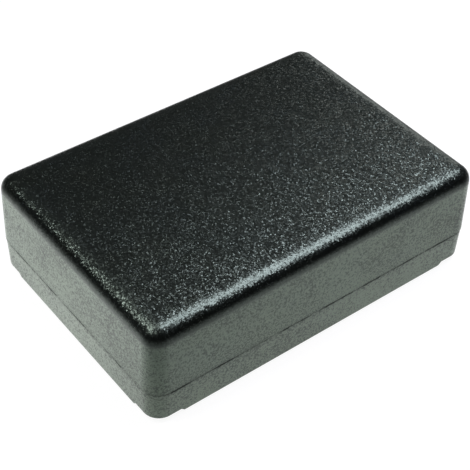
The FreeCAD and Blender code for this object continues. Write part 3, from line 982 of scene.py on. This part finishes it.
@dataclass
class CornerScrews:
    """The four countersunk tapping screws that hold the cover to the base."""

    nodes: tuple[str, ...] = (
        "screw_front_left",
        "screw_front_right",
        "screw_rear_left",
        "screw_rear_right",
    )
    finish: ZincFinish = ZincFinish()
    sizes: ScrewSizes = ScrewSizes()
    taper: float = 0.35
    sides: int = 28
    seed: int = 4

    def build(self) -> bpy.types.Object:
        """Builds the screws as one mesh, which rides on the base.

        Returns:
            The screws' object.
        """
        boxes = [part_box(node) for node in self.nodes]
        seats = [Vector(((low.x + high.x) / 2, (low.y + high.y) / 2, low.z)) for low, high in boxes]
        corner = max(seats, key=lambda seat: seat.x + seat.y)
        length = boxes[0][1].z - boxes[0][0].z
        values: dict[str, Any] = {spaced(name): size for name, size in metres(self.sizes).items()}
        values |= {"Length": length, "Taper": self.taper, "Sides": self.sides, "Seed": self.seed}
        values["Material"] = self.finish.material(corner, values["Core radius"], values["Crest radius"])
        host = linked("screw_seats", bpy.data.meshes.new("screw_seats"))
        host.data.from_pydata([tuple(seat) for seat in seats], [], [])
        tree = ScrewTree().tree
        modifier = host.modifiers.new("screws", "NODES")
        modifier.node_group = tree
        for item in tree.interface.items_tree:
            if item.in_out == "INPUT" and item.name in values:
                modifier[item.identifier] = values[item.name]
        evaluated = host.evaluated_get(bpy.context.evaluated_depsgraph_get())
        mesh = bpy.data.meshes.new_from_object(evaluated)
        mesh.name = "corner_screws"
        bpy.data.objects.remove(host)
        bpy.data.node_groups.remove(tree)
        screws = linked("corner_screws", mesh)
        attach(screws, "base")
        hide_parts(*self.nodes)
        return screws


@dataclass(frozen=True)
class SoftLamp:
    """A square soft lamp in its direction from the case, which a mirror may show, sized in metres."""

    name: str
    azimuth: float
    elevation: float
    distance: float
    side: float
    power: float
    colour: Colour = (1.0, 1.0, 1.0)
    mirrored: bool = True

    def build(self, aim: Vector) -> bpy.types.Object:
        """Puts the lamp up.

        Args:
            aim: The point that it faces.

        Returns:
            The lamp.
        """
        light = bpy.data.lights.new(self.name, "AREA")
        light.shape = "SQUARE"
        light.size = self.side
        light.energy = self.power
        light.color = self.colour
        lamp = linked(self.name, light)
        back = direction(self.azimuth, self.elevation)
        lamp.location = aim + back * self.distance
        lamp.rotation_euler = (-back).to_track_quat("-Z", "Y").to_euler()
        lamp.visible_glossy = self.mirrored
        lamp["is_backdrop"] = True
        return lamp


@dataclass
class Studio:
    """A plain white floor in soft light, with its sizes in metres."""

    floor_radius: float = 6.0
    floor_sides: int = 96
    floor_colour: Colour = (0.80, 0.80, 0.80)
    shadow_share: Colour = (0.15, 0.15, 0.15)
    floor_glow: float = 0.90
    front_glow: float = 0.55
    front_edge: Pair = (-0.035, 0.005)
    pool_edge: Pair = (0.112, 0.062)
    pool_rim: float = 0.18
    near_edge: Pair = (0.035, 0.060)
    near_glow: float = 0.48
    sky_glow: float = 0.25
    low_band: Pair = (0.05, 0.0)
    dark_above: float = 0.004
    behind_above: float = 0.085
    behind_side: float = 140.9
    behind_edge: Pair = (0.60, 0.90)
    lamps: tuple[SoftLamp, ...] = (
        SoftLamp("lamp_right", 81.5, 65.0, 0.22, 0.12, 0.385, (0.98, 0.98, 1.12)),
        SoftLamp("lamp_rear", 123.0, 15.0, 0.90, 0.30, 0.48),
        SoftLamp("lamp_back", 248.0, 58.0, 0.25, 0.11, 0.27),
        SoftLamp("lamp_above", 187.0, 82.0, 0.24, 0.12, 0.05),
        SoftLamp("lamp_front", 318.0, 30.0, 0.80, 0.40, 1.2, mirrored=False),
    )

    def build(self, aim: Vector) -> None:
        """Puts up the floor, the backdrop and the lamps.

        Args:
            aim: The middle of the case.
        """
        self.floor()
        self.backdrop()
        for lamp in self.lamps:
            lamp.build(aim)

    def floor(self) -> bpy.types.Object:
        """Lays the floor.

        Returns:
            The floor.
        """
        ring = [math.tau * number / self.floor_sides for number in range(self.floor_sides)]
        points = [(self.floor_radius * math.cos(a), self.floor_radius * math.sin(a), 0.0) for a in ring]
        mesh = bpy.data.meshes.new("floor")
        mesh.from_pydata(points, [], [tuple(range(self.floor_sides))])
        mesh.materials.append(self.floor_material())
        floor = linked("floor", mesh)
        floor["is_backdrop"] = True
        return floor

    def floor_material(self) -> bpy.types.Material:
        """Builds the floor's matt white, which shows as white to the eye, as a painted pool of light in
        mirrors, and keeps the shadow.

        Returns:
            The material.
        """
        made = bpy.data.materials.new("floor_white")
        wiring = Wiring(emptied(made))
        path = wiring.add("ShaderNodeLightPath").outputs
        seen = wiring.most(path["Is Camera Ray"], path["Is Glossy Ray"])
        seen = wiring.most(seen, path["Is Transmission Ray"])
        plain = wiring.out("ShaderNodeBsdfDiffuse", {"Color": self.floor_colour})
        shaded = wiring.out("ShaderNodeBsdfDiffuse", {"Color": self.shadow_share})
        strength = wiring.mix(path["Is Camera Ray"], self.pool(wiring), self.floor_glow)
        glow = wiring.out("ShaderNodeEmission", {"Strength": strength})
        white = wiring.out("ShaderNodeAddShader", {0: shaded, 1: glow})
        both = wiring.out("ShaderNodeMixShader", {0: seen, 1: plain, 2: white})
        wiring.add("ShaderNodeOutputMaterial", {"Surface": both})
        return made

    def pool(self, wiring: Wiring) -> Socket:
        """Paints a pool of light into the floor's white in reflections, which fades outwards and to the
        front, with painted shade towards the viewer.

        Args:
            wiring: The floor's tree.

        Returns:
            The output for the strength of the white.
        """
        place = wiring.out("ShaderNodeTexCoord", output="Object")
        behind = wiring.step(wiring.parts(place)["Y"], *self.front_edge)
        close = wiring.step(wiring.vector("LENGTH", place, output="Value"), *self.pool_edge)
        fading = wiring.times(
            wiring.spread(behind, self.front_glow, 1.0), wiring.spread(close, self.pool_rim, 1.0)
        )
        # Painted shade: in mirrors the floor darkens on the side where the camera stands.
        viewer = direction(self.behind_side + 180.0, 0.0)
        before = wiring.vector("DOT_PRODUCT", place, viewer, output="Value")
        before = wiring.step(before, *self.near_edge)
        return wiring.times(fading, wiring.spread(before, 1.0, self.near_glow))

    def backdrop(self) -> None:
        """Makes the world: white to the eye, soft on the case, dark in mirrors but low and behind."""
        world = bpy.data.worlds.new("studio")
        bpy.context.scene.world = world
        wiring = Wiring(emptied(world))
        path = wiring.add("ShaderNodeLightPath").outputs
        rising = wiring.out("ShaderNodeTexCoord", output="Generated")
        band = wiring.step(wiring.parts(rising)["Z"], *self.low_band)
        toward = wiring.vector("DOT_PRODUCT", rising, direction(self.behind_side, 0.0), output="Value")
        above = wiring.mix(wiring.step(toward, *self.behind_edge), self.dark_above, self.behind_above)
        reflected = wiring.most(path["Is Glossy Ray"], path["Is Transmission Ray"])
        strength = wiring.mix(reflected, self.sky_glow, wiring.mix(band, above, self.pool_rim))
        strength = wiring.mix(path["Is Camera Ray"], strength, 1.0)
        glow = wiring.out("ShaderNodeBackground", {"Strength": strength})
        wiring.add("ShaderNodeOutputWorld", {"Surface": glow})


@dataclass
class Viewpoint:
    """The camera at the photograph's angle."""

    aim: tuple[float, float, float] = (-2.886, -4.767, 10.5)
    azimuth: float = -39.079
    elevation: float = 42.852
    distance: float = 222.94
    nearest: float = 10.0
    roll: float = 2.273
    lens: float = 94.30
    shift_x: float = -0.01115
    shift_y: float = 0.00222

    def build(self) -> bpy.types.Object:
        """Puts the camera in place.

        Returns:
            The camera.
        """
        lens = bpy.data.cameras.new("camera")
        lens.lens = self.lens
        lens.shift_x = self.shift_x
        lens.shift_y = self.shift_y
        lens.clip_start = self.nearest * MM
        lens.dof.use_dof = False
        camera = linked("camera", lens)
        turn = Matrix.Rotation(math.radians(self.azimuth), 4, "Z")
        tilt = Matrix.Rotation(math.radians(90.0 - self.elevation), 4, "X")
        roll = Matrix.Rotation(math.radians(self.roll), 4, "Z")
        stand = Vector(self.aim) * MM + direction(self.azimuth, self.elevation) * self.distance * MM
        camera.matrix_world = Matrix.Translation(stand) @ turn @ tilt @ roll
        bpy.context.scene.camera = camera
        return camera


def main() -> None:
    """Builds and dresses the pieces in order, then the studio and the camera."""
    effects = Effects(SparkGrain(), SatinMottle(), TintClouds(), SeamShade(), EdgeCrown(), HollowMask())
    base = Shell("base_shell", PlasticFinish("base_plastic", Outside.PLAIN))
    cover = Shell("cover_shell", PlasticFinish("cover_plastic", Outside.GRAINED_TOP))
    for shell in (base, cover):
        dressed = shell.dress(effects)
        log.info("%s: %d faces, dressed in %s", dressed.name, len(dressed.data.polygons), shell.finish.name)
    screws = CornerScrews().build()
    log.info("%s: %d faces", screws.name, len(screws.data.polygons))
    low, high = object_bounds()
    Studio().build((low + high) / 2)
    Viewpoint().build()
    bpy.context.scene.view_settings.view_transform = "Standard"
    log.info("studio and camera are set")


if __name__ == "__main__":
    main()
